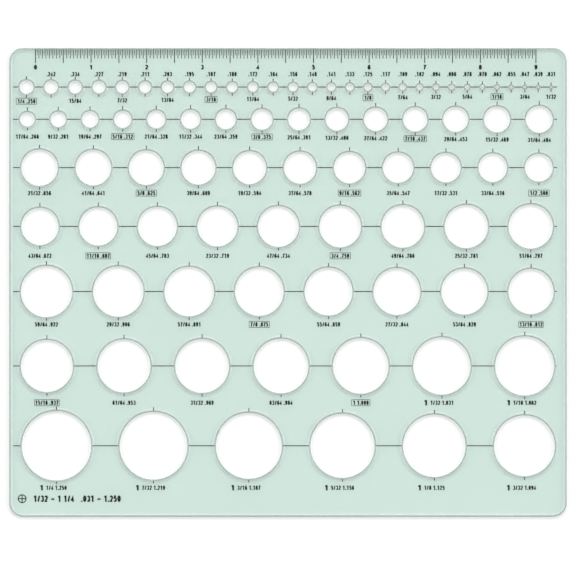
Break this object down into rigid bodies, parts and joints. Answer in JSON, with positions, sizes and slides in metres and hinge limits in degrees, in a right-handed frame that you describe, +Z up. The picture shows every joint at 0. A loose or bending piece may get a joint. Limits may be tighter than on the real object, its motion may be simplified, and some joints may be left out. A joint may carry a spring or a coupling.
{
  "type": "circle template",
  "caption": "Flat see-through plastic drafting template with round holes in seven rows, a stepped underside for inking and a printed inch scale.",
  "frame": {"origin": "under the middle of the sheet, on the surface it lies on", "axes": "+X to the right and +Y to the edge with the scale, as its numerals are read; +Z up out of the printed face"},
  "size_m": [0.2548, 0.2142, 0.0013],
  "materials": {
    "tinted_plastic": "see-through, pale green, smooth",
    "black_ink": "screen-printing ink, near black"
  },
  "bodies": {
    "root": {"crossed_circle_sign": "black_ink", "scale_graduations": "black_ink", "scale_numeral_0": "black_ink", "scale_numeral_1": "black_ink", "scale_numeral_2": "black_ink", "scale_numeral_3": "black_ink", "scale_numeral_4": "black_ink", "scale_numeral_5": "black_ink", "scale_numeral_6": "black_ink", "scale_numeral_7": "black_ink", "scale_numeral_8": "black_ink", "scale_numeral_9": "black_ink", "size_frame_1": "black_ink", "size_frame_11_16": "black_ink", "size_frame_13_16": "black_ink", "size_frame_15_16": "black_ink", "size_frame_1_16": "black_ink", "size_frame_1_2": "black_ink", "size_frame_1_4": "black_ink", "size_frame_1_8": "black_ink", "size_frame_3_16": "black_ink", "size_frame_3_4": "black_ink", "size_frame_3_8": "black_ink", "size_frame_5_16": "black_ink", "size_frame_5_8": "black_ink", "size_frame_7_16": "black_ink", "size_frame_7_8": "black_ink", "size_frame_9_16": "black_ink", "template_sheet": "tinted_plastic"}
  },
  "joints": []
}
